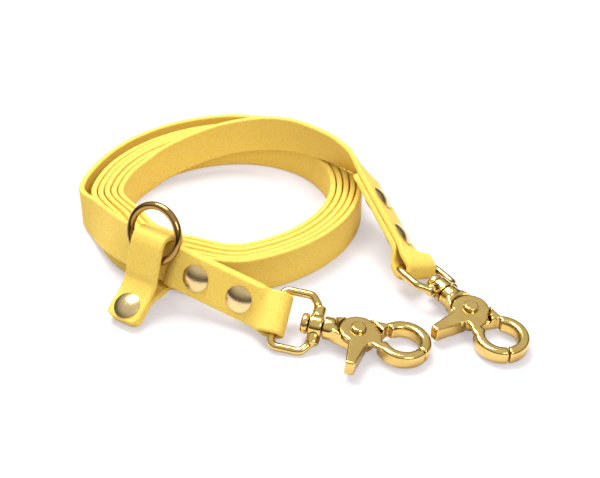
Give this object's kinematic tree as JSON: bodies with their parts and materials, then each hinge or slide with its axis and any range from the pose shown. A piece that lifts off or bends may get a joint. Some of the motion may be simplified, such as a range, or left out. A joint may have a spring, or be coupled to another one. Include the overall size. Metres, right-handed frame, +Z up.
{
  "type": "training leash",
  "caption": "Two-ended dog training leash: coiled flat coated strap, each end riveted round a brass scissor snap, and an O-ring on a sliding tab",
  "frame": {"origin": "on the floor under the middle of the bounding box of the coiled leash", "axes": "+X along the longest side of the coiled leash towards the snaps, +Y away from the snaps, +Z up"},
  "size_m": [0.1746, 0.1544, 0.0398],
  "materials": {
    "strap": "smooth coated webbing, semi-gloss",
    "hook": "polished solid brass",
    "ring": "polished, darker",
    "rivet": "pale satin brass",
    "spring": "bright wire"
  },
  "bodies": {
    "leash": {"strap_coil": "strap", "strap_lead_a": "strap", "strap_lead_b": "strap", "strap_end_a": "strap", "strap_end_b": "strap", "rivet_a1_post_cap": "rivet", "rivet_a1_back_cap": "rivet", "rivet_a2_post_cap": "rivet", "rivet_a2_back_cap": "rivet", "rivet_b1_post_cap": "rivet", "rivet_b1_back_cap": "rivet", "rivet_b2_post_cap": "rivet", "rivet_b2_back_cap": "rivet"},
    "tab": {"ring_tab": "strap", "rivet_tab_post_cap": "rivet", "rivet_tab_back_cap": "rivet"},
    "ring": {"o_ring": "ring"},
    "eye_a": {"snap_a_eye": "hook"},
    "hook_a": {"snap_a_body": "hook", "snap_a_pivot": "hook", "snap_a_spring": "spring"},
    "trigger_a": {"snap_a_trigger": "hook"},
    "eye_b": {"snap_b_eye": "hook"},
    "hook_b": {"snap_b_body": "hook", "snap_b_pivot": "hook", "snap_b_spring": "spring"},
    "trigger_b": {"snap_b_trigger": "hook"}
  },
  "joints": [
    {"name": "tab_slide", "type": "slide", "parent": "leash", "child": "tab", "axis": [0.8557, -0.5173, -0.0135], "range_m": [-0.002, 0.002]},
    {"name": "ring_turn", "type": "hinge", "parent": "tab", "child": "ring", "pos_m": [-0.05042, -0.02787, 0.02844], "axis": [-0.4717, -0.7905, 0.3907], "continuous": true},
    {"name": "eye_a_swing", "type": "hinge", "parent": "leash", "child": "eye_a", "pos_m": [-0.00479, -0.05164, 0.00816], "axis": [-0.2348, -0.8255, -0.5132], "range_deg": [0, 20]},
    {"name": "hook_a_swivel", "type": "hinge", "parent": "eye_a", "child": "hook_a", "pos_m": [0.00977, -0.055, 0.0069], "axis": [0.971, -0.2242, -0.0837], "continuous": true},
    {"name": "trigger_a_pull", "type": "hinge", "parent": "hook_a", "child": "trigger_a", "pos_m": [0.02482, -0.05847, 0.0056], "axis": [-0.0815, 0.0188, -0.9965], "range_deg": [0, 22], "stiffness_Nm_per_rad": 0.03, "springref_deg": -28.65},
    {"name": "eye_b_swing", "type": "hinge", "parent": "leash", "child": "eye_b", "pos_m": [0.04866, -0.02165, 0.00719], "axis": [-0.707, -0.5678, 0.4217], "range_deg": [0, 20]},
    {"name": "hook_b_swivel", "type": "hinge", "parent": "eye_b", "child": "hook_b", "pos_m": [0.05767, -0.0336, 0.0062], "axis": [0.6005, -0.7969, -0.0663], "continuous": true},
    {"name": "trigger_b_pull", "type": "hinge", "parent": "hook_b", "child": "trigger_b", "pos_m": [0.06698, -0.04595, 0.00517], "axis": [-0.0399, 0.0529, -0.9978], "range_deg": [0, 22], "stiffness_Nm_per_rad": 0.03, "springref_deg": -28.65}
  ]
}
